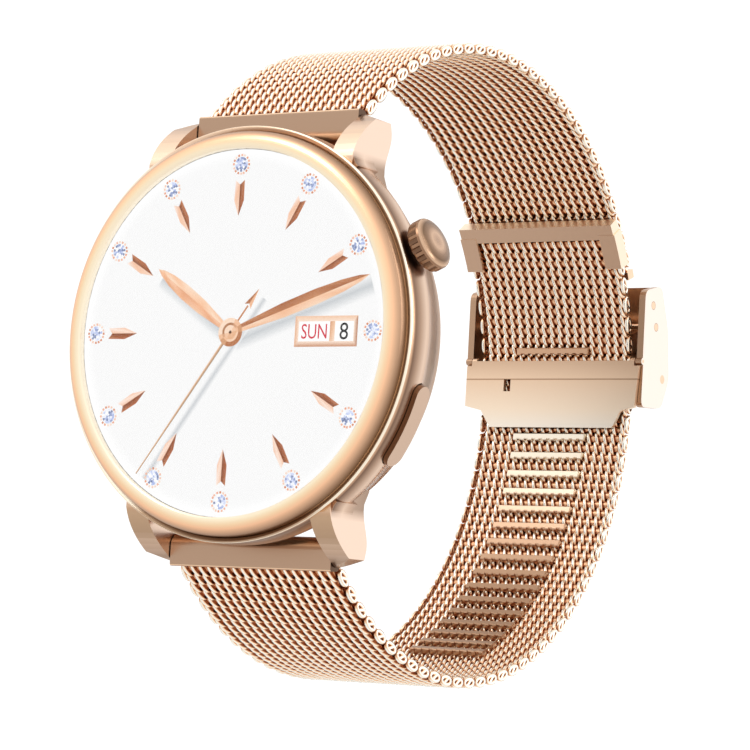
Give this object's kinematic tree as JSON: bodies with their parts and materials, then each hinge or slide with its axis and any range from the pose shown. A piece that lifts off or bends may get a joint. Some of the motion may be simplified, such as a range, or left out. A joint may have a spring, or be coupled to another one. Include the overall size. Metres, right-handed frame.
{
  "type": "smartwatch",
  "caption": "Round smartwatch with crown, side button, lit analogue face and woven mesh strap closed in a loop by a sliding clasp.",
  "frame": {"origin": "centre of the closed strap loop, where the wrist is", "axes": "+X from the watch's centre to the crown side, the wrist's length; -Y out of the display; +Z to twelve o'clock"},
  "size_m": [0.043, 0.071, 0.0685],
  "materials": {
    "case_metal": "polished rose-gold plated steel",
    "bezel_metal": "mirror-polished rose-gold plated steel",
    "glass": "clear, polished",
    "display": "lit white screen",
    "rubber": "matt",
    "flex": "amber polyimide",
    "frame_plastic": "moulded, fine grain",
    "board": "solder-masked",
    "steel": "satin",
    "cell": "foil pouch",
    "tungsten": "sintered",
    "back_plastic": "fine moulded grain",
    "lens_plastic": "gloss black",
    "contacts": "gold plated",
    "mesh_metal": "rose-gold plated woven wire",
    "clasp_metal": "satin rose-gold plated sheet"
  },
  "bodies": {
    "case": {"case_body": "case_metal", "bezel_ring": "bezel_metal", "cover_glass": "glass", "glass_gasket": "rubber", "display_panel": "display", "display_flex": "flex", "inner_frame": "frame_plastic", "main_board": "board", "shield_cans": "steel", "battery": "cell", "motor_case": "steel", "speaker": "frame_plastic", "microphone": "steel", "sensor_board": "board", "sensor_lens": "lens_plastic", "charge_pins": "contacts", "charge_magnets": "steel", "back_cover": "back_plastic", "back_gasket": "rubber", "back_screws": "steel", "crown_tube": "steel", "crown_seal": "rubber", "crown_encoder": "board", "crown_switch": "steel", "button_flex": "flex", "upper_bar_tube": "steel", "lower_bar_tube": "steel"},
    "motor_rotor": {"motor_rotor": "tungsten"},
    "crown_slider": {"crown_plunger": "frame_plastic"},
    "crown": {"crown_stem": "steel", "crown_head": "bezel_metal"},
    "side_button": {"side_button": "case_metal", "button_stems": "steel"},
    "upper_tip_left": {"upper_tip_left": "steel"},
    "upper_tip_right": {"upper_tip_right": "steel"},
    "lower_tip_left": {"lower_tip_left": "steel"},
    "lower_tip_right": {"lower_tip_right": "steel"},
    "upper_strap_1": {"upper_end_link": "clasp_metal", "upper_mesh_1": "mesh_metal"},
    "upper_strap_2": {"upper_mesh_2": "mesh_metal"},
    "upper_strap_3": {"upper_mesh_3": "mesh_metal"},
    "upper_strap_4": {"upper_mesh_4": "mesh_metal", "upper_hook": "clasp_metal"},
    "lower_strap_1": {"lower_end_link": "clasp_metal", "lower_mesh_1": "mesh_metal"},
    "lower_strap_2": {"lower_mesh_2": "mesh_metal"},
    "lower_strap_3": {"lower_mesh_3": "mesh_metal", "notch_bars_3": "mesh_metal"},
    "lower_strap_4": {"lower_mesh_4": "mesh_metal", "notch_bars_4": "mesh_metal"},
    "clasp": {"lower_mesh_5": "mesh_metal", "notch_bars_5": "mesh_metal", "keeper_clip": "clasp_metal", "buckle_frame": "clasp_metal", "buckle_pins": "clasp_metal"},
    "locking_plate": {"locking_plate": "clasp_metal"},
    "clasp_cover": {"clasp_cover": "clasp_metal"}
  },
  "joints": [
    {"name": "motor_spin", "type": "hinge", "parent": "case", "child": "motor_rotor", "pos_m": [-0.0058, -0.0262, -0.0112], "axis": [0, 1, 0], "continuous": true},
    {"name": "crown_press", "type": "slide", "parent": "case", "child": "crown_slider", "axis": [-0.9171, 0, -0.3987], "range_m": [0, 0.00035], "stiffness_N_per_m": 4000},
    {"name": "crown_turn", "type": "hinge", "parent": "crown_slider", "child": "crown", "pos_m": [0.02018, -0.0284, 0.00877], "axis": [0.9171, 0, 0.3987], "continuous": true},
    {"name": "side_button_press", "type": "slide", "parent": "case", "child": "side_button", "axis": [-0.9063, 0, 0.4226], "range_m": [0, 0.0003], "stiffness_N_per_m": 4000},
    {"name": "upper_left_tip_slide", "type": "slide", "parent": "case", "child": "upper_tip_left", "axis": [1, 0, 0], "range_m": [0, 0.0012], "stiffness_N_per_m": 1500},
    {"name": "upper_right_tip_slide", "type": "slide", "parent": "case", "child": "upper_tip_right", "axis": [-1, 0, 0], "range_m": [0, 0.0012], "stiffness_N_per_m": 1500},
    {"name": "lower_left_tip_slide", "type": "slide", "parent": "case", "child": "lower_tip_left", "axis": [1, 0, 0], "range_m": [0, 0.0012], "stiffness_N_per_m": 1500},
    {"name": "lower_right_tip_slide", "type": "slide", "parent": "case", "child": "lower_tip_right", "axis": [-1, 0, 0], "range_m": [0, 0.0012], "stiffness_N_per_m": 1500},
    {"name": "strap_open", "type": "hinge", "parent": "case", "child": "upper_strap_1", "pos_m": [0, -0.0252, 0.0211], "axis": [1, 0, 0], "range_deg": [0, 36]},
    {"name": "upper_flex_1", "type": "hinge", "parent": "upper_strap_1", "child": "upper_strap_2", "pos_m": [0, -0.01133, 0.03195], "axis": [1, 0, 0], "range_deg": [0, 19]},
    {"name": "upper_flex_2", "type": "hinge", "parent": "upper_strap_2", "child": "upper_strap_3", "pos_m": [0, 0.00503, 0.03367], "axis": [1, 0, 0], "range_deg": [0, 19]},
    {"name": "upper_flex_3", "type": "hinge", "parent": "upper_strap_3", "child": "upper_strap_4", "pos_m": [0, 0.02028, 0.02751], "axis": [1, 0, 0], "range_deg": [0, 19]},
    {"name": "lower_swing", "type": "hinge", "parent": "case", "child": "lower_strap_1", "pos_m": [0, -0.0252, -0.0211], "axis": [-1, 0, 0], "range_deg": [0, 15.4]},
    {"name": "lower_flex_1", "type": "hinge", "parent": "lower_strap_1", "child": "lower_strap_2", "pos_m": [0, -0.0084, -0.0323], "axis": [-1, 0, 0], "range_deg": [0, 11.8]},
    {"name": "lower_flex_2", "type": "hinge", "parent": "lower_strap_2", "child": "lower_strap_3", "pos_m": [0, 0.0106, -0.03134], "axis": [-1, 0, 0], "range_deg": [0, 11.8]},
    {"name": "lower_flex_3", "type": "hinge", "parent": "lower_strap_3", "child": "lower_strap_4", "pos_m": [0, 0.02597, -0.02013], "axis": [-1, 0, 0], "range_deg": [0, 11.8]},
    {"name": "lower_flex_4", "type": "hinge", "parent": "lower_strap_4", "child": "clasp", "pos_m": [0, 0.03267, -0.00232], "axis": [-1, 0, 0], "range_deg": [0, 11.8]},
    {"name": "locking_plate_open", "type": "hinge", "parent": "clasp", "child": "locking_plate", "pos_m": [0, 0.0317, 0.00455], "axis": [-1, 0, 0], "range_deg": [0, 70]},
    {"name": "clasp_cover_open", "type": "hinge", "parent": "clasp", "child": "clasp_cover", "pos_m": [0, 0.0365, 0.003], "axis": [-1, 0, 0], "range_deg": [0, 80]}
  ],
  "couplings": [
    {"joint": "upper_flex_1", "follows": "strap_open", "ratio": 0.5},
    {"joint": "upper_flex_2", "follows": "strap_open", "ratio": 0.5},
    {"joint": "upper_flex_3", "follows": "strap_open", "ratio": 0.5},
    {"joint": "lower_swing", "follows": "strap_open", "ratio": 0.4},
    {"joint": "lower_flex_1", "follows": "strap_open", "ratio": 0.3},
    {"joint": "lower_flex_2", "follows": "strap_open", "ratio": 0.3},
    {"joint": "lower_flex_3", "follows": "strap_open", "ratio": 0.3},
    {"joint": "lower_flex_4", "follows": "strap_open", "ratio": 0.3}
  ]
}
